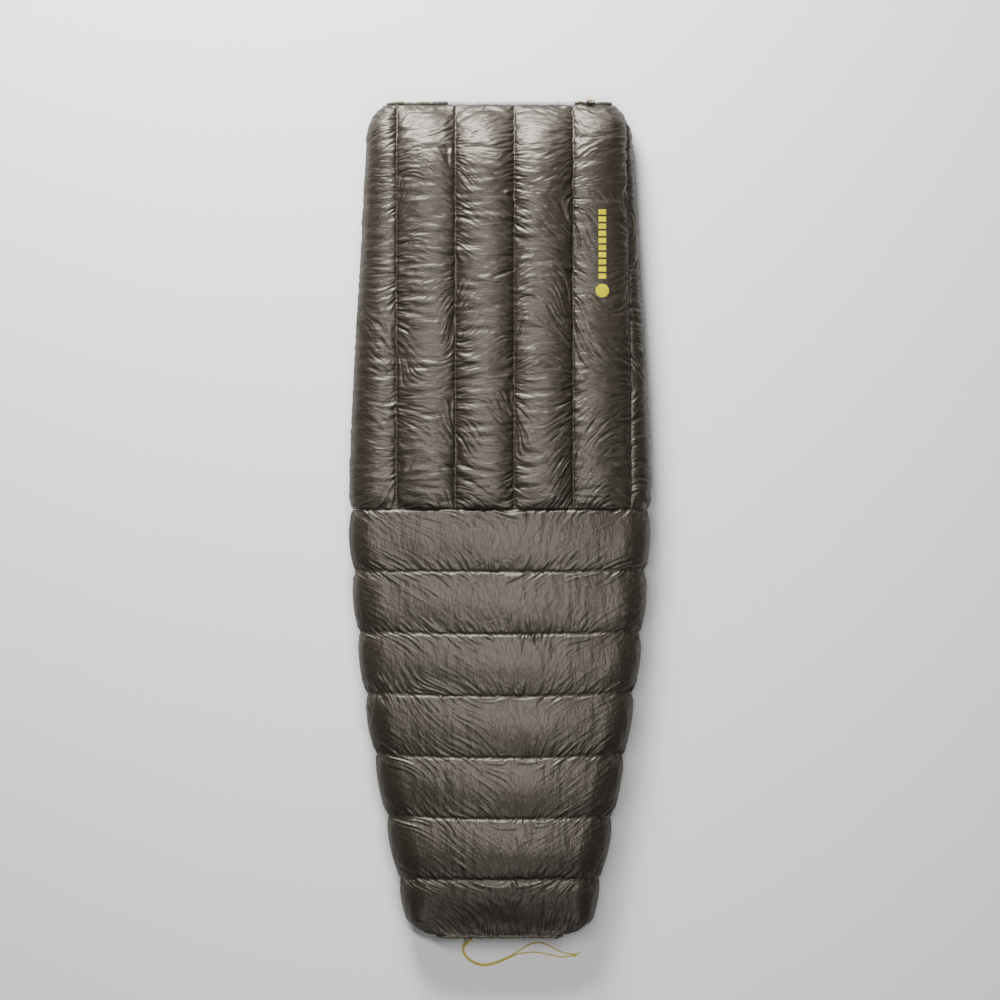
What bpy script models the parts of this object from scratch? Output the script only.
"""Camp quilt, wrapped as it is used: a down quilt whose long edges meet underneath.

Metres, +Z up. The quilt lies on the XY plane with its head end at +Y. Its torso half has channels
that run head to foot, and its foot half has chambers that run across. Both are sewn through, so
every seam pinches the down out, and each channel or chamber holds one closed core of down.
"""

import math

import bmesh
import bpy
from mathutils import Matrix, Vector

# ---- driving dimensions -------------------------------------------------------------------------
LENGTH = 1.900
Y_NECK = LENGTH / 2
Y_FOOT = -LENGTH / 2
Y_WAIST = 0.024                 # the seam between lengthwise channels and crosswise chambers
FOOT_CHAMBERS = 7
HALF_CHANNELS = 5               # channels on each side of the spine seam
CHANNEL = 0.133                 # pitch of the seams that lie on the top
SPINE_X = 0.033                 # the spine seam lies a little right of the middle
ZIP_X = -0.033                  # so the two back edges meet a little left of it
HALF_WIDTHS = ((-0.95, 0.205), (-0.746, 0.248), (-0.385, 0.311), (-0.023, 0.343),
               (0.249, 0.338), (0.611, 0.3165), (0.95, 0.298))
NECK_CORNER = (0.060, 0.080)    # corner rounding: along X, along Y
FOOT_CORNER = (0.120, 0.050)
HEIGHT = 0.132                  # overall, lying wrapped
NECK_HEIGHT = 0.062
FOOT_HEIGHT = 0.058
NECK_SLOPE = 0.17               # how far from each end the height starts to fall
FOOT_SLOPE = 0.20
FOOT_RISE = 0.022               # the foot hem's lift off the ground
FOOT_RISE_LENGTH = 0.080

LOFT = 0.0262                   # thickest place of a down core
SEAM_THICKNESS = 0.003          # down core at its sewn edge
TOP_DIP = 0.012                 # depth of a seam below the crowns, on the top
UNDER_DIP = 0.004               # the same underneath, where the quilt's weight flattens it
EDGE_DIP = 0.009                # depth of the back edges and hems above the ground
END_TAPER = 0.060               # length over which a channel thins to its end seam
FABRIC = 0.0004
GAP = 0.0003
CORE_SLACK = 0.0017             # more room round a core where nothing presses the shell onto it
SEAM_INSET = 0.0016             # half the gap between neighbouring cores
MID_WALL = 0.0135               # depth of the wall's middle, where the fabric's width is measured
EDGE_TO_ZIP = 0.0158            # from the zip's centre line to where the quilt's wall starts

BINDING_WIDTH = 0.003
BINDING_HEIGHT = 0.005
EDGE_Z = EDGE_DIP + SEAM_THICKNESS / 2
HEM_RADIUS = 0.0042
HEM_WALL = 0.0006
NECK_HEM_Y = Y_NECK - HEM_RADIUS
FOOT_HEM_Y = Y_FOOT + HEM_RADIUS
CORD_RADIUS = 0.0013
HEM_CORD_RADIUS = 0.0010
STRAND_STEP = 0.0078            # between the points of a free cord's line
TAIL_STEP = 0.0030
LOOP_STEP = 0.0019

ZIP_TOP = -0.330
ZIP_BOTTOM = -0.865
TEETH_INNER = 0.0008
TEETH_WIDTH = 0.0023
TEETH_HEIGHT = 0.0020
TAPE_WIDTH = 0.0086
TAPE_HEIGHT = 0.0008
SLIDER_LENGTH = 0.0105
SLIDER_WIDTH = 0.0092
SLIDER_PLATE = 0.0009
SLIDER_CLEAR = 0.0003
SLIDER_Y = -0.339
POST_HALF = 0.0004
PIN_DROP = 0.0017               # from the slider's lower plate to the pull tab's pin
PIN_RADIUS = 0.0005
KNUCKLE_RADIUS = 0.0012
PULL_HALF_WIDTH = 0.0022
PULL_DROP = math.radians(14)    # the pull tab hangs this far down, just short of the ground
PULL_LENGTH = 0.020
PULL_THICKNESS = 0.0010
PULL_CLEAR = 0.0002             # round the pin, and between the tab and its lugs
PULL_STEPS = 12
LUG_THICKNESS = 0.0008
LUG_HALF = 0.0010
BITE = 0.0003                   # how far two joined shapes run into each other
STOP_HALF = 0.0018              # half the height of a top stop and of the retainer box
STOP_LENGTH = 0.0032
RETAINER_LENGTH = 0.006
PIN_HALF = 0.0010               # half the height of the insertion pin

EYELET_THICKNESS = 0.0008
LOCK_RADIUS = 0.0050            # the neck drawcord's lock, lying along X on the hem
LOCK_BORE = 0.0036
LOCK_LENGTH = 0.0136
LOCK_FLOOR = 0.0012
LOCK_X = 0.207                  # where the cord passes through it
LOCK_Y = 0.9472
STRAND_AT = 0.0098              # from the lock's closed end to the cord
PLUNGER_RADIUS = 0.0033
PLUNGER_START = 0.0064
BUTTON_RADIUS = 0.0044
BUTTON_HEAD = 0.0022
BUTTON_TRAVEL = 0.0030
NECK_CORD_RADIUS = 0.0010
NECK_STRAND_HALF = 0.0012       # half the distance between the two strands in the lock
SLOT_HALF = (0.0025, 0.0014)    # of the cord's hole: along the lock, across it
SPRING_RADIUS = 0.0025
SPRING_WIRE = 0.0003
SPRING_TURNS = 3
SPRING_STEPS = 8                # in each turn

SNAP_RADIUS = 0.0050
SNAP_Y = 0.925
TAB_WIDTH = 0.0120
TAB_THICKNESS = 0.0008
LOOP_YS = (0.62, 0.30)
LABEL_Y = 0.120
LABEL_LENGTH = 0.035
LABEL_WIDTH = 0.020
LABEL_LAP = 0.0020              # of the label over the left edge's binding

# ---- scene and materials ------------------------------------------------------------------------
for old in list(bpy.data.objects):
    bpy.data.objects.remove(old, do_unlink=True)

quilt = bpy.data.collections.new("camp_quilt")
bpy.context.scene.collection.children.link(quilt)
cutters = bpy.data.collections.new("cutters")
cutters.hide_render = True
bpy.context.scene.collection.children.link(cutters)


def material(name, colour, roughness, metallic=0.0):
    made = bpy.data.materials.new(name)
    made.use_nodes = True
    shader = made.node_tree.nodes["Principled BSDF"]
    shader.inputs["Base Color"].default_value = (*colour, 1.0)
    shader.inputs["Roughness"].default_value = roughness
    shader.inputs["Metallic"].default_value = metallic
    return made


SHELL = material("shell_nylon", (0.118, 0.098, 0.078), 0.42)
LINER = material("liner_nylon", (0.40, 0.39, 0.44), 0.45)
DOWN = material("down_fill", (0.80, 0.79, 0.76), 0.95)
BINDING = material("binding_tape", (0.035, 0.032, 0.030), 0.70)
YELLOW = material("yellow_cord", (0.60, 0.47, 0.03), 0.60)
TAPE = material("zip_tape", (0.030, 0.030, 0.030), 0.75)
PLASTIC = material("black_plastic", (0.022, 0.022, 0.024), 0.40)
STEEL = material("spring_steel", (0.60, 0.60, 0.60), 0.30, 1.0)
LABEL = material("label_satin", (0.55, 0.55, 0.53), 0.50)


def add(name, mesh, finish, smooth_angle=0.7):
    mesh.materials.append(finish)
    mesh.shade_smooth()
    mesh.set_sharp_from_angle(angle=smooth_angle)
    made = bpy.data.objects.new(name, mesh)
    quilt.objects.link(made)
    return made


# ---- the wrapped form ---------------------------------------------------------------------------
def through(points, y):
    """A smooth curve through the points, read at y (Catmull-Rom on uneven steps)."""
    last = len(points) - 1
    i = max(k for k in range(last) if y >= points[k][0] or k == 0)
    (y0, w0), (y1, w1) = points[i], points[i + 1]
    before, after = points[max(i - 1, 0)], points[min(i + 2, last)]
    slope0 = (w1 - before[1]) / (y1 - before[0])
    slope1 = (after[1] - w0) / (after[0] - y0)
    t = (y - y0) / (y1 - y0)
    step = y1 - y0
    return ((2 * t**3 - 3 * t**2 + 1) * w0 + (t**3 - 2 * t**2 + t) * step * slope0
            + (3 * t**2 - 2 * t**3) * w1 + (t**3 - t**2) * step * slope1)


def corner(distance, across, along):
    """How far the outline has come in, this far from the end of a corner rounded by across x along."""
    share = min(1.0, max(0.0, 1.0 - distance / along))
    return across * (1.0 - math.sqrt(1.0 - share**2))


def half_width(y):
    return (through(HALF_WIDTHS, y) - corner(Y_NECK - y, *NECK_CORNER)
            - corner(y - Y_FOOT, *FOOT_CORNER))


def slope(distance, drop, length):
    """How far the top has come down, this far from an end that lies lower by drop."""
    return drop * max(0.0, 1.0 - distance / length)**2


def height(y):
    return (HEIGHT - slope(Y_NECK - y, HEIGHT - NECK_HEIGHT, NECK_SLOPE)
            - slope(y - Y_FOOT, HEIGHT - FOOT_HEIGHT, FOOT_SLOPE))


def lift(y):
    share = max(0.0, Y_FOOT + FOOT_RISE_LENGTH - y) / FOOT_RISE_LENGTH
    return FOOT_RISE * share**2


def half_lengths(side, y):
    """Lengths along the wall's middle, from the spine: top, side arc, underside."""
    radius = height(y) / 2
    straight = half_width(y) - radius
    top = straight - side * SPINE_X
    under = straight - side * ZIP_X - EDGE_TO_ZIP
    return top, math.pi * (radius - MID_WALL), under


def torso_along(side, place, y):
    """Distance from the spine of a place counted in channels, 0 at the spine to 5 at the back edge."""
    top, arc, under = half_lengths(side, y)
    second = min(2 * CHANNEL, top + 0.75 * arc)
    if place <= 1:
        return place * CHANNEL
    if place <= 2:
        return CHANNEL + (place - 1) * (second - CHANNEL)
    return second + (place - 2) / (HALF_CHANNELS - 2) * (top + arc + under - second)


def foot_along(side, place, y):
    """Distance from the spine of a place counted in stretches: top, side arc, underside."""
    lengths = half_lengths(side, y)
    whole = min(2, int(place))
    return sum(lengths[:whole]) + (place - whole) * lengths[whole]


def underness(side, along, y):
    """0 on the top, 1 underneath, and a smooth step between round the side."""
    top, arc, _ = half_lengths(side, y)
    t = min(1.0, max(0.0, (along - top) / arc))
    return t * t * (3 - 2 * t)


def wall_point(side, along, y, depth):
    """The point this deep under the wrapped form's surface, this far round from the spine."""
    radius = height(y) / 2
    straight = half_width(y) - radius
    top, arc, _ = half_lengths(side, y)
    if along <= top:
        x, z = side * (side * SPINE_X + along), 2 * radius - depth
    elif along <= top + arc:
        turn = (along - top) / (radius - MID_WALL)
        x = side * (straight + (radius - depth) * math.sin(turn))
        z = radius + (radius - depth) * math.cos(turn)
    else:
        x, z = side * (straight - (along - top - arc)), depth
    return Vector((x, y, z + lift(y)))


# ---- stations -----------------------------------------------------------------------------------
CROWN = (0.0, 0.25, 0.5, 0.75, 1.0)         # across a torso channel
CROWN_FILL = (0.0, 0.78, 1.0, 0.78, 0.0)
BARREL = (0.0, 0.28, 0.72, 1.0)             # along a foot chamber
BARREL_FILL = (0.0, 0.92, 0.92, 0.0)
TOE_ROW = 0.023                             # one more row where the foot end rounds in
TOE_FILL = 0.62
WAIST_STEPS = (0.0, 0.30, 1.0)              # in END_TAPERs, from the waist seam
NECK_STEPS = (1.7, 1.0, 0.62, 0.30)         # and from the neck
TORSO_MIDS = (0.24, 0.47, 0.70)
FOOT_PLACES = (0.0, 0.5, 0.9, 1.15, 1.4, 1.6, 1.85, 2.1, 2.5, 2.86, 3.0)
FOOT_EDGE = 3.0                             # the place of the back edge
EDGE_TAPER = 0.14                           # share of the underside over which a chamber thins
LIFTED_END = 0.030                          # the foot hem lifts the last of the wall as a back edge does


def end_fill(y):
    """Fill of a torso channel near its two end seams: 0 at the seam, 1 where it is full."""
    distance = min(Y_NECK - y, y - Y_WAIST)
    return math.sqrt(min(1.0, max(0.0, distance / END_TAPER)))


def edge_fill(place):
    """Fill of a foot chamber near the back edges."""
    return min(1.0, (FOOT_EDGE - place) / EDGE_TAPER)


def depth_of_shell(fill, under, lift_to_edge):
    on_top = TOP_DIP * (1 - fill)
    below = max(UNDER_DIP * (1 - min(1.0, 1.3 * fill)), EDGE_DIP * (1 - lift_to_edge))
    return on_top * (1 - under) + below * under


def torso_rows():
    waist = [Y_WAIST + END_TAPER * s for s in WAIST_STEPS]
    neck = [Y_NECK - END_TAPER * s for s in NECK_STEPS]
    return waist + list(TORSO_MIDS) + neck + [NECK_HEM_Y - HEM_RADIUS]


def torso_places():
    """Signed places round the torso, back edge to back edge, seams at whole numbers."""
    return [k + c for k in range(-HALF_CHANNELS, HALF_CHANNELS) for c in CROWN[:-1]] + [HALF_CHANNELS]


SHELL_FACES, CORE_FACES, LINER_FACES = (0, 1), (2, 3), (4, 5)


def wall_depths(fill, under, to_edge):
    """Depths of both faces of the shell, of the down and of the liner, from the outside in."""
    outer = depth_of_shell(fill, under, to_edge)
    slack = GAP + CORE_SLACK * (1 - under * min(1.0, 1.3 * fill))
    core = outer + FABRIC + slack
    core_end = core + SEAM_THICKNESS + (LOFT - SEAM_THICKNESS) * fill
    liner = core_end + GAP + CORE_SLACK
    return outer, outer + FABRIC, core, core_end, liner, liner + FABRIC


def torso_sample(place, y, face):
    """A point of one face of the torso's layers, numbered as in wall_depths."""
    side = 1 if place >= 0 else -1
    along = torso_along(side, abs(place), y)
    fill = CROWN_FILL[CROWN.index(place - math.floor(place))] * end_fill(y)
    to_edge = 0.0 if abs(place) == HALF_CHANNELS else end_fill(y)
    depth = wall_depths(fill, underness(side, along, y), to_edge)[face]
    return wall_point(side, along, y, depth)


def foot_seams():
    pitch = (Y_WAIST - Y_FOOT) / FOOT_CHAMBERS
    return [Y_WAIST - pitch * k for k in range(FOOT_CHAMBERS + 1)]


def foot_rows():
    """(y, fill) from the waist to the foot hem."""
    rows = []
    seams = foot_seams()
    for above, below in zip(seams, seams[1:]):
        rows += [(above + (below - above) * c, f) for c, f in zip(BARREL[:-1], BARREL_FILL)]
    rows.append((Y_FOOT + TOE_ROW, TOE_FILL))
    rows.append((FOOT_HEM_Y + HEM_RADIUS, 0.0))
    return rows


def foot_places():
    return [-p for p in reversed(FOOT_PLACES[1:])] + list(FOOT_PLACES)


def foot_sample(place, row, face):
    """A point of one face of the foot half's layers, numbered as in wall_depths."""
    y, barrel = row
    side = 1 if place >= 0 else -1
    along = foot_along(side, abs(place), y)
    fill = barrel * edge_fill(abs(place))
    to_edge = edge_fill(abs(place)) if y > Y_FOOT + LIFTED_END else 0.0
    depth = wall_depths(fill, underness(side, along, y), to_edge)[face]
    return wall_point(side, along, y, depth)


# ---- builders -----------------------------------------------------------------------------------
def face_outwards(bm):
    bmesh.ops.recalc_face_normals(bm, faces=bm.faces[:])
    if bm.calc_volume(signed=True) < 0:
        bmesh.ops.reverse_faces(bm, faces=bm.faces[:])


def slab(name, columns, rows, outer, inner, finish):
    """A closed sheet between two surfaces, each given as a function of (column, row)."""
    bm = bmesh.new()
    bmesh.ops.create_grid(bm, x_segments=columns - 1, y_segments=rows - 1, size=1.0)
    # The same diagonals on every layer, so that a core never pokes through the skin over it.
    bmesh.ops.triangulate(bm, faces=bm.faces[:], quad_method="FIXED")
    grown = bmesh.ops.extrude_face_region(bm, geom=bm.faces[:])
    fresh = {v for v in grown["geom"] if isinstance(v, bmesh.types.BMVert)}
    places = {vert: vert.co.copy() for vert in bm.verts}
    for vert, flat in places.items():
        i = round((flat.x + 1) / 2 * (columns - 1))
        j = round((flat.y + 1) / 2 * (rows - 1))
        vert.co = inner(i, j) if vert in fresh else outer(i, j)
    face_outwards(bm)
    mesh = bpy.data.meshes.new(name)
    bm.to_mesh(mesh)
    bm.free()
    return add(name, mesh, finish)


def inset_ends(points, first, last):
    """The polyline with its first and last points moved in along their own segments."""
    moved = list(points)
    if first:
        step = points[1] - points[0]
        moved[0] = points[0] + step * (first / step.length)
    if last:
        step = points[-2] - points[-1]
        moved[-1] = points[-1] + step * (last / step.length)
    return moved


def inset_grid(grid, inset):
    """A grid of points, as rows of columns, brought in from its four sides."""
    rows = [inset_ends(row, inset, inset) for row in grid]
    columns = [inset_ends(list(column), inset, inset) for column in zip(*rows)]
    return [list(row) for row in zip(*columns)]


def wall_slab(name, grids, finish):
    outer, inner = grids
    return slab(name, len(outer[0]), len(outer), lambda i, j: outer[j][i],
                lambda i, j: inner[j][i], finish)


def box(name, low, high, finish, chamfer=0.0):
    bm = bmesh.new()
    size = Vector(high) - Vector(low)
    middle = (Vector(high) + Vector(low)) / 2
    place = Matrix.Translation(middle) @ Matrix.Diagonal((*size, 1.0))
    bmesh.ops.create_cube(bm, size=1.0, matrix=place)
    mesh = bpy.data.meshes.new(name)
    bm.to_mesh(mesh)
    bm.free()
    made = add(name, mesh, finish)
    if chamfer:
        bevel = made.modifiers.new("rounded_edges", "BEVEL")
        bevel.width = chamfer
        bevel.segments = 1
    return made


def turned(name, profile, finish, axis, centre, steps=16):
    """A closed profile of (radius, distance along the axis) points, spun about the axis."""
    bm = bmesh.new()
    ring = [bm.verts.new((r, 0.0, h)) for r, h in profile]
    edges = [bm.edges.new((a, b)) for a, b in zip(ring, ring[1:])]
    if min(r for r, _ in profile) > 0:
        edges.append(bm.edges.new((ring[-1], ring[0])))
    bmesh.ops.spin(bm, geom=ring + edges, cent=(0, 0, 0), axis=(0, 0, 1), angle=2 * math.pi,
                   steps=steps, use_merge=True)
    bmesh.ops.remove_doubles(bm, verts=bm.verts[:], dist=1e-6)
    face_outwards(bm)
    turn = Vector((0, 0, 1)).rotation_difference(Vector(axis)).to_matrix().to_4x4()
    bmesh.ops.transform(bm, matrix=turn, verts=bm.verts[:])
    mesh = bpy.data.meshes.new(name)
    bm.to_mesh(mesh)
    bm.free()
    made = add(name, mesh, finish)
    made.location = centre
    return made


def cord(name, points, radius, finish):
    """A round cord on a line of straight steps, eight-sided."""
    data = bpy.data.curves.new(name, "CURVE")
    data.dimensions = "3D"
    data.bevel_depth = radius
    data.bevel_resolution = 2
    data.use_fill_caps = True
    spline = data.splines.new("POLY")
    spline.points.add(len(points) - 1)
    for target, point in zip(spline.points, points):
        target.co = (*point, 1.0)
    data.materials.append(finish)
    made = bpy.data.objects.new(name, data)
    quilt.objects.link(made)
    return made


def smooth_route(points, spacing):
    """Points at an even spacing on a smooth curve through the given ones."""
    vectors = [Vector(p) for p in points]
    ends = [2 * vectors[0] - vectors[1]] + vectors + [2 * vectors[-1] - vectors[-2]]
    fine = []
    for a, b, c, d in zip(ends, ends[1:], ends[2:], ends[3:]):
        for k in range(24):
            t = k / 24
            fine.append(0.5 * (2 * b + (c - a) * t + (2 * a - 5 * b + 4 * c - d) * t**2
                               + (3 * b - 3 * c + d - a) * t**3))
    fine.append(vectors[-1])
    lengths = [0.0]
    for a, b in zip(fine, fine[1:]):
        lengths.append(lengths[-1] + (b - a).length)
    count = max(2, round(lengths[-1] / spacing))
    route = []
    k = 0
    for n in range(count + 1):
        goal = lengths[-1] * n / count
        while k < len(lengths) - 2 and lengths[k + 1] < goal:
            k += 1
        span = lengths[k + 1] - lengths[k]
        route.append(fine[k].lerp(fine[k + 1], (goal - lengths[k]) / span))
    return route


def as_cutter(made):
    """Keeps an object out of the finished quilt, to cut or join another piece with."""
    for holder in list(made.users_collection):
        holder.objects.unlink(made)
    cutters.objects.link(made)
    made.hide_render = True
    made.display_type = "WIRE"
    return made


def cutter_box(name, low, high):
    return as_cutter(box(name, low, high, PLASTIC))


def boolean(target, operation, tool):
    made = target.modifiers.new(f"{operation.lower()}_{tool.name}", "BOOLEAN")
    made.operation = operation
    made.object = tool


# ---- shell, liner and down of the torso ---------------------------------------------------------
T_ROWS = torso_rows()
T_PLACES = torso_places()


def torso_layer(name, places, faces, inset, finish):
    grids = [[[torso_sample(p, y, face) for p in places] for y in T_ROWS] for face in faces]
    return wall_slab(name, [inset_grid(g, inset) for g in grids], finish)


torso_layer("outer_shell_torso", T_PLACES, SHELL_FACES, GAP, SHELL)
torso_layer("liner_torso", T_PLACES, LINER_FACES, GAP, LINER)
for number, first_seam in enumerate(range(-HALF_CHANNELS, HALF_CHANNELS), start=1):
    channel_places = [first_seam + c for c in CROWN]
    torso_layer(f"down_torso_{number:02d}", channel_places, CORE_FACES, SEAM_INSET, DOWN)

# ---- shell, liner and down of the foot half -----------------------------------------------------
F_ROWS = foot_rows()
F_PLACES = foot_places()


def foot_layer(name, rows, faces, inset, finish):
    grids = [[[foot_sample(p, row, face) for p in F_PLACES] for row in rows] for face in faces]
    return wall_slab(name, [inset_grid(g, inset) for g in grids], finish)


foot_layer("outer_shell_foot", F_ROWS, SHELL_FACES, GAP, SHELL)
foot_layer("liner_foot", F_ROWS, LINER_FACES, GAP, LINER)
CHAMBER_ROWS = len(BARREL) - 1
for number in range(1, FOOT_CHAMBERS + 1):
    start = (number - 1) * CHAMBER_ROWS
    end = len(F_ROWS) if number == FOOT_CHAMBERS else start + CHAMBER_ROWS + 1
    chamber = F_ROWS[start:end]
    foot_layer(f"down_foot_{number:02d}", chamber, CORE_FACES, SEAM_INSET, DOWN)


# ---- hems with their drawcords ------------------------------------------------------------------
HEM_SIDES = 7
HEM_OPENING = math.radians(60)              # the hem's tube is open where it is sewn to the quilt
CORD_INSET = 0.002                          # the cord ends this far inside its hem


def hem_frames(places, along_at, y, sample_y):
    """Centres and outward directions of a hem's stations, which follow the wall's middle."""
    frames = []
    for place in places:
        side = 1 if place >= 0 else -1
        along = along_at(side, abs(place), sample_y)
        depth = sum(wall_depths(0.0, underness(side, along, sample_y), 0.0)) / 6
        centre = wall_point(side, along, sample_y, depth)
        outward = (wall_point(side, along, sample_y, 0.0) - centre).normalized()
        frames.append((Vector((centre.x, y, centre.z)), outward))
    return frames


def hem(name, frames, towards):
    """A band folded into a tube round its cord, open along the side that is sewn to the quilt."""
    beyond = Vector((0.0, towards, 0.0))

    def ring(frame, j, radius):
        centre, outward = frame
        turn = (2 * math.pi - HEM_OPENING) * (j / (HEM_SIDES - 1) - 0.5)
        return centre + (beyond * math.cos(turn) + outward * math.sin(turn)) * radius

    return slab(name, len(frames), HEM_SIDES, lambda i, j: ring(frames[i], j, HEM_RADIUS),
                lambda i, j: ring(frames[i], j, HEM_RADIUS - HEM_WALL), SHELL)


NECK_STATIONS = [p / 2 for p in range(-2 * HALF_CHANNELS, 2 * HALF_CHANNELS + 1)]
neck_frames = hem_frames(NECK_STATIONS, torso_along, NECK_HEM_Y, T_ROWS[-1])
foot_frames = hem_frames(F_PLACES, foot_along, FOOT_HEM_Y, F_ROWS[-1][0])
hem("neck_hem", neck_frames, 1.0)
hem("foot_hem", foot_frames, -1.0)
for word, frames in (("neck", neck_frames), ("foot", foot_frames)):
    line = inset_ends([centre for centre, _ in frames], CORD_INSET, CORD_INSET)
    cord(f"{word}_drawcord", line, HEM_CORD_RADIUS, YELLOW)


# ---- back edges and the foot zip ----------------------------------------------------------------
def edge_bar(name, x_low, x_high, ys, half_height, finish):
    """A straight strip along a back edge, lifted with the foot end."""
    def corner_point(i, j, z):
        return Vector(((x_low, x_high)[i], ys[j], EDGE_Z + lift(ys[j]) + z))
    return slab(name, 2, len(ys), lambda i, j: corner_point(i, j, half_height),
                lambda i, j: corner_point(i, j, -half_height), finish)


BINDING_OUT = EDGE_TO_ZIP - GAP
BINDING_YS = [Y_FOOT + 0.009, Y_FOOT + 0.03, Y_FOOT + 0.055, Y_FOOT + 0.08, Y_WAIST, Y_NECK - 0.010]
LEFT_OF_ZIP, RIGHT_OF_ZIP = -1, 1
for side, word in ((LEFT_OF_ZIP, "left"), (RIGHT_OF_ZIP, "right")):
    near, far = sorted((ZIP_X + side * (BINDING_OUT - BINDING_WIDTH), ZIP_X + side * BINDING_OUT))
    edge_bar(f"edge_binding_{word}", near, far, BINDING_YS, BINDING_HEIGHT / 2, BINDING)

    near, far = sorted((ZIP_X + side * TEETH_INNER, ZIP_X + side * (TEETH_INNER + TEETH_WIDTH)))
    box(f"zip_teeth_{word}", (near, ZIP_BOTTOM, EDGE_Z - TEETH_HEIGHT / 2),
        (far, ZIP_TOP, EDGE_Z + TEETH_HEIGHT / 2), PLASTIC)

    tape_in = TEETH_INNER + TEETH_WIDTH + GAP
    near, far = sorted((ZIP_X + side * tape_in, ZIP_X + side * (tape_in + TAPE_WIDTH)))
    box(f"zip_tape_{word}", (near, ZIP_BOTTOM - 0.006, EDGE_Z - TAPE_HEIGHT / 2),
        (far, ZIP_TOP + 0.012, EDGE_Z + TAPE_HEIGHT / 2), TAPE)

    near, far = sorted((ZIP_X + side * TEETH_INNER, ZIP_X + side * (TEETH_INNER + TEETH_WIDTH)))
    box(f"zip_top_stop_{word}", (near, ZIP_TOP + GAP, EDGE_Z - STOP_HALF),
        (far, ZIP_TOP + GAP + STOP_LENGTH, EDGE_Z + STOP_HALF), PLASTIC, 0.0003)

box("zip_retainer_box", (ZIP_X - 0.0030, ZIP_BOTTOM - GAP - RETAINER_LENGTH, EDGE_Z - STOP_HALF),
    (ZIP_X + 0.0001, ZIP_BOTTOM - GAP, EDGE_Z + STOP_HALF), PLASTIC, 0.0003)
box("zip_insertion_pin", (ZIP_X + 0.0005, ZIP_BOTTOM - GAP - RETAINER_LENGTH, EDGE_Z - PIN_HALF),
    (ZIP_X + 0.0028, ZIP_BOTTOM - GAP, EDGE_Z + PIN_HALF), PLASTIC, 0.0002)


# ---- zip slider and its pull tab ----------------------------------------------------------------
def centred(made, point):
    """The object with its origin moved onto a point of its joint's axis, its shape left in place."""
    made.data.transform(Matrix.Translation(-Vector(point)))
    made.location = point
    return made


# Two plates held together by a post that runs between the two rows of teeth.
plate_low = EDGE_Z - TEETH_HEIGHT / 2 - SLIDER_CLEAR
plate_high = EDGE_Z + TEETH_HEIGHT / 2 + SLIDER_CLEAR
slider_low = Vector((ZIP_X - SLIDER_WIDTH / 2, SLIDER_Y - SLIDER_LENGTH / 2, plate_low - SLIDER_PLATE))
slider_high = Vector((ZIP_X + SLIDER_WIDTH / 2, SLIDER_Y + SLIDER_LENGTH / 2, plate_high + SLIDER_PLATE))
slider = centred(box("zip_slider", slider_low, slider_high, PLASTIC), (ZIP_X, SLIDER_Y, EDGE_Z))
for side, word in ((LEFT_OF_ZIP, "left"), (RIGHT_OF_ZIP, "right")):
    near, far = sorted((ZIP_X + side * POST_HALF, ZIP_X + side * SLIDER_WIDTH))
    throat = cutter_box(f"slider_throat_{word}", (near, slider_low.y - 0.001, plate_low),
                        (far, slider_high.y + 0.001, plate_high))
    boolean(slider, "DIFFERENCE", throat)

# Two lugs under the lower plate carry a pin, on which the pull tab's knuckle turns.
pin_z = slider_low.z - PIN_DROP
lug_in = PULL_HALF_WIDTH + PULL_CLEAR
lug_out = lug_in + LUG_THICKNESS
for side, word in ((LEFT_OF_ZIP, "left"), (RIGHT_OF_ZIP, "right")):
    near, far = sorted((ZIP_X + side * lug_in, ZIP_X + side * lug_out))
    lug = cutter_box(f"pull_lug_{word}", (near, SLIDER_Y - LUG_HALF, pin_z - LUG_HALF),
                     (far, SLIDER_Y + LUG_HALF, slider_low.z + BITE))
    boolean(slider, "UNION", lug)
pin_half = (lug_in + lug_out) / 2
pin = as_cutter(turned("pull_pin", [(0, -pin_half), (PIN_RADIUS, -pin_half), (PIN_RADIUS, pin_half),
                                    (0, pin_half)],
                       PLASTIC, (1, 0, 0), (ZIP_X, SLIDER_Y, pin_z), steps=PULL_STEPS))
boolean(slider, "UNION", pin)

pin_hole = PIN_RADIUS + PULL_CLEAR
puller = turned("zip_puller", [(pin_hole, -PULL_HALF_WIDTH), (KNUCKLE_RADIUS, -PULL_HALF_WIDTH),
                               (KNUCKLE_RADIUS, PULL_HALF_WIDTH), (pin_hole, PULL_HALF_WIDTH)],
                PLASTIC, (1, 0, 0), (ZIP_X, SLIDER_Y, pin_z), steps=PULL_STEPS)
tongue = cutter_box("pull_tongue", (-PULL_HALF_WIDTH, -PULL_LENGTH, -PULL_THICKNESS / 2),
                    (PULL_HALF_WIDTH, BITE - KNUCKLE_RADIUS, PULL_THICKNESS / 2))
tongue.data.transform(Matrix.Rotation(PULL_DROP, 4, "X"))
tongue.location = puller.location
boolean(puller, "UNION", tongue)

# Draft tube: a slim down-filled roll inside, over the zip.
DRAFT_SECTION_LOW = (0.0187, 0.0160, 0.0150, 0.0160, 0.0187)
DRAFT_SECTION_HIGH = (0.0207, 0.0255, 0.0270, 0.0255, 0.0207)
DRAFT_XS = (-0.0160, -0.0090, 0.0, 0.0090, 0.0160)
DRAFT_YS = [ZIP_BOTTOM - 0.010 + k * (ZIP_TOP + 0.030 - ZIP_BOTTOM) / 4 for k in range(5)]
slab("zip_draft_tube", len(DRAFT_XS), len(DRAFT_YS),
     lambda i, j: Vector((ZIP_X + DRAFT_XS[i], DRAFT_YS[j], DRAFT_SECTION_HIGH[i])),
     lambda i, j: Vector((ZIP_X + DRAFT_XS[i], DRAFT_YS[j], DRAFT_SECTION_LOW[i])), LINER)

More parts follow.
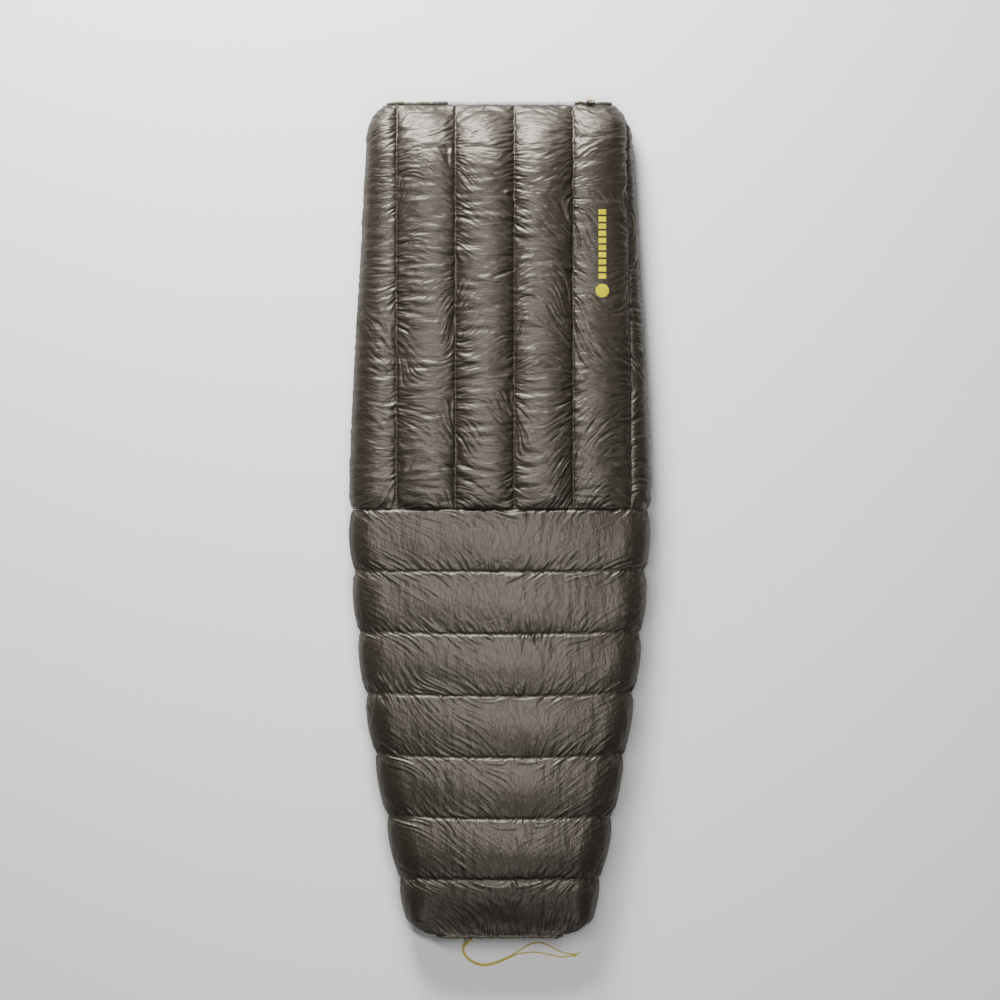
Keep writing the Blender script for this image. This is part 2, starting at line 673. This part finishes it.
# ---- pieces on the back edges of the torso ------------------------------------------------------
for side, word in ((LEFT_OF_ZIP, "left"), (RIGHT_OF_ZIP, "right")):
    edge = ZIP_X + side * (BINDING_OUT - BINDING_WIDTH - GAP)
    for number, y in enumerate(LOOP_YS, start=1):
        fold = ((0.0, 0.0022), (0.0050, 0.0022), (0.0072, 0.0010), (0.0072, -0.0010),
                (0.0050, -0.0022), (0.0, -0.0022))

        def loop_point(i, j, shrink, edge=edge, side=side, y=y, fold=fold):
            out, up = fold[j]
            pull = shrink if 0 < j < len(fold) - 1 else 0.0
            rise = math.copysign(shrink, up) if shrink else 0.0
            return Vector((edge - side * (out - (pull if out > 0.006 else 0.0)),
                           y + (i - 0.5) * 0.010, EDGE_Z + up - rise))

        slab(f"pad_loop_{word}_{number}", 2, len(fold), lambda i, j: loop_point(i, j, 0.0),
             lambda i, j: loop_point(i, j, 0.0007), BINDING)

# Neck snap: two short tabs that overlap under the neck, one with the stud and one with the socket.
left_edge = ZIP_X - (BINDING_OUT - BINDING_WIDTH - GAP)
right_edge = ZIP_X + (BINDING_OUT - BINDING_WIDTH - GAP)
tab_reach = SNAP_RADIUS + 0.0015
TAB_LOW_Z = 0.0080
box("neck_snap_tab_left", (left_edge, SNAP_Y - TAB_WIDTH / 2, TAB_LOW_Z),
    (ZIP_X + tab_reach, SNAP_Y + TAB_WIDTH / 2, TAB_LOW_Z + TAB_THICKNESS), BINDING)
STUD_Z = TAB_LOW_Z + TAB_THICKNESS + GAP
turned("neck_snap_stud", [(0, 0), (SNAP_RADIUS, 0), (SNAP_RADIUS, 0.0008), (0.0019, 0.0010),
                          (0.0019, 0.0018), (0.0021, 0.0022), (0.0018, 0.0028), (0, 0.0030)],
       PLASTIC, (0, 0, 1), (ZIP_X, SNAP_Y, STUD_Z))
SOCKET_Z = STUD_Z + 0.0014
turned("neck_snap_socket", [(0.0024, 0), (0.0044, 0), (SNAP_RADIUS, 0.0006), (SNAP_RADIUS, 0.0016),
                            (0.0044, 0.0020), (0.0024, 0.0020)],
       PLASTIC, (0, 0, 1), (ZIP_X, SNAP_Y, SOCKET_Z))
TAB_HIGH_Z = SOCKET_Z + 0.0020 + GAP
box("neck_snap_tab_right", (ZIP_X - tab_reach, SNAP_Y - TAB_WIDTH / 2, TAB_HIGH_Z),
    (right_edge, SNAP_Y + TAB_WIDTH / 2, TAB_HIGH_Z + TAB_THICKNESS), BINDING)

# Care label, blank, sewn to the left edge and lying across the gap.
LABEL_Z = EDGE_Z + BINDING_HEIGHT / 2 + GAP
box("care_label", (left_edge - LABEL_LAP, LABEL_Y, LABEL_Z),
    (left_edge - LABEL_LAP + LABEL_WIDTH, LABEL_Y + LABEL_LENGTH, LABEL_Z + FABRIC), LABEL)

# ---- neck drawcord: eyelet, cord loop and lock --------------------------------------------------
hem_top = max((f for f in neck_frames if abs(f[0].x - LOCK_X) < 0.05 and f[0].z > 0.03),
              key=lambda f: -abs(f[0].x - LOCK_X))[0].z + HEM_RADIUS
turned("neck_eyelet", [(0.0026, 0), (0.0040, 0), (0.0040, EYELET_THICKNESS), (0.0026, EYELET_THICKNESS)],
       PLASTIC, (0, 0, 1), (LOCK_X, LOCK_Y, hem_top + GAP))
lock_z = hem_top + 2 * GAP + EYELET_THICKNESS + LOCK_RADIUS
lock_centre = Vector((LOCK_X, LOCK_Y, lock_z))
lock_end = lock_centre - Vector((STRAND_AT, 0, 0))
barrel = turned("neck_lock_barrel", [(0, 0), (LOCK_RADIUS - 0.0006, 0), (LOCK_RADIUS, 0.0006),
                                     (LOCK_RADIUS, LOCK_LENGTH), (LOCK_BORE, LOCK_LENGTH),
                                     (LOCK_BORE, LOCK_FLOOR), (0, LOCK_FLOOR)],
                PLASTIC, (1, 0, 0), lock_end)
button_start = LOCK_LENGTH + BUTTON_TRAVEL + 0.0002
button = turned("neck_lock_button", [(0, PLUNGER_START), (PLUNGER_RADIUS, PLUNGER_START),
                                     (PLUNGER_RADIUS, button_start), (BUTTON_RADIUS, button_start),
                                     (BUTTON_RADIUS, button_start + BUTTON_HEAD - 0.0008),
                                     (BUTTON_RADIUS - 0.0010, button_start + BUTTON_HEAD),
                                     (0, button_start + BUTTON_HEAD)],
                PLASTIC, (1, 0, 0), lock_end)
along, across = SLOT_HALF
for piece, word, travel in ((barrel, "barrel", 0.0), (button, "button", BUTTON_TRAVEL)):
    slot = cutter_box(f"{word}_slot", lock_centre - Vector((along, across, 2 * LOCK_RADIUS)),
                      lock_centre + Vector((along + travel, across, 2 * LOCK_RADIUS)))
    boolean(piece, "DIFFERENCE", slot)
spring_start = LOCK_FLOOR + GAP + SPRING_WIRE
spring_length = PLUNGER_START - GAP - SPRING_WIRE - spring_start
coil = []
for k in range(SPRING_TURNS * SPRING_STEPS + 1):
    turn = 2 * math.pi * k / SPRING_STEPS
    forward = spring_start + spring_length * k / (SPRING_TURNS * SPRING_STEPS)
    coil.append(lock_end + Vector((forward, SPRING_RADIUS * math.cos(turn), SPRING_RADIUS * math.sin(turn))))
cord("neck_lock_spring", coil, SPRING_WIRE, STEEL)

# The cord comes up through the eyelet and the lock, turns round in a small loop and goes back down.
half_loop = [(NECK_STRAND_HALF, 0.0, hem_top + GAP - lock_z), (NECK_STRAND_HALF, 0.0, 0.0),
             (NECK_STRAND_HALF, 0.0, LOCK_RADIUS + 0.0012), (0.0023, 0.0006, LOCK_RADIUS + 0.0038),
             (0.0042, 0.0028, LOCK_RADIUS + 0.0060), (0.0044, 0.0062, LOCK_RADIUS + 0.0068),
             (0.0024, 0.0090, LOCK_RADIUS + 0.0062)]
right_half = [lock_centre + Vector(p) for p in half_loop]
left_half = [lock_centre + Vector((-x, y, z)) for x, y, z in reversed(half_loop)]
loop_tip = lock_centre + Vector((0.0, 0.0099, LOCK_RADIUS + 0.0058))
cord("neck_cord_loop", smooth_route(right_half + [loop_tip] + left_half, LOOP_STEP), NECK_CORD_RADIUS,
     YELLOW)

# ---- foot drawcord's free end: eyelet, two strands, knot and tail -------------------------------
FOOT_EXIT_X = -0.0654
GROUND_Z = CORD_RADIUS + 0.0001
exit_frame = min((f for f in foot_frames if f[0].z < 0.045), key=lambda f: abs(f[0].x - FOOT_EXIT_X))
exit_z = exit_frame[0].z
exit_y = FOOT_HEM_Y - HEM_RADIUS
turned("foot_eyelet", [(0.0033, 0), (0.0048, 0), (0.0048, EYELET_THICKNESS), (0.0033, EYELET_THICKNESS)],
       PLASTIC, (0, -1, 0), (FOOT_EXIT_X, exit_y - GAP, exit_z))
# The two strands run side by side from the eyelet and part half way. Each line is the middle of
# the pair as far as the parting, then the strand's own points.
STRAND_HALF = 0.0016
PAIR = ((-0.0654, exit_y - 2 * GAP, exit_z), (-0.0655, -0.9545, exit_z - 0.0004), (-0.0705, -0.9600, 0.0235),
        (-0.0788, -0.9665, 0.0085), (-0.0826, -0.9745, 0.0022), (-0.0820, -0.9840, GROUND_Z),
        (-0.0745, -0.9960, GROUND_Z), (-0.0590, -1.0080, GROUND_Z), (-0.0353, -1.0143, GROUND_Z),
        (-0.0120, -1.0100, GROUND_Z), (0.0090, -1.0020, GROUND_Z), (0.0280, -0.9930, GROUND_Z))
UPPER = ((0.0470, -0.9800, GROUND_Z), (0.0600, -0.9720, GROUND_Z), (0.0750, -0.9655, GROUND_Z),
         (0.0960, -0.9638, GROUND_Z), (0.1190, -0.9738, GROUND_Z), (0.1400, -0.9842, GROUND_Z),
         (0.1560, -0.9880, GROUND_Z + 0.0004), (0.1655, -0.9892, 0.0028))
LOWER = ((0.0440, -0.9885, GROUND_Z), (0.0600, -0.9860, GROUND_Z), (0.0850, -0.9850, GROUND_Z),
         (0.1120, -0.9902, GROUND_Z), (0.1380, -0.9950, GROUND_Z), (0.1550, -0.9946, GROUND_Z + 0.0004),
         (0.1655, -0.9926, 0.0028))


def beside(line, half):
    """The line moved sideways on the ground plane, to its left for a positive half."""
    moved = []
    for k, point in enumerate(line):
        before, after = Vector(line[max(k - 1, 0)]), Vector(line[min(k + 1, len(line) - 1)])
        ahead = after - before
        left = Vector((-ahead.y, ahead.x, 0.0)).normalized()
        moved.append(Vector(point) + left * half)
    return moved


upper = smooth_route(beside(PAIR, STRAND_HALF) + [Vector(p) for p in UPPER], STRAND_STEP)
lower = smooth_route(beside(PAIR, -STRAND_HALF) + [Vector(p) for p in LOWER], STRAND_STEP)
cord("foot_cord_strand_a", upper, CORD_RADIUS, YELLOW)
cord("foot_cord_strand_b", lower, CORD_RADIUS, YELLOW)
KNOT = Vector((0.1711, -0.9910, 0.0039))
KNOT_RADII = (0.0052, 0.0040, 0.0037)
bm = bmesh.new()
stretch = Matrix.Translation(KNOT) @ Matrix.Diagonal((*KNOT_RADII, 1.0))
bmesh.ops.create_uvsphere(bm, u_segments=12, v_segments=8, radius=1.0, matrix=stretch)
knot_mesh = bpy.data.meshes.new("foot_cord_knot")
bm.to_mesh(knot_mesh)
bm.free()
add("foot_cord_knot", knot_mesh, YELLOW, smooth_angle=1.2)
TAIL = (KNOT + Vector((0.0056, 0.0012, -0.0006)), KNOT + Vector((0.0080, 0.0030, -0.0018)),
        KNOT + Vector((0.0104, 0.0070, GROUND_Z - 0.0039)))
cord("foot_cord_tail", smooth_route(TAIL, TAIL_STEP), CORD_RADIUS, YELLOW)
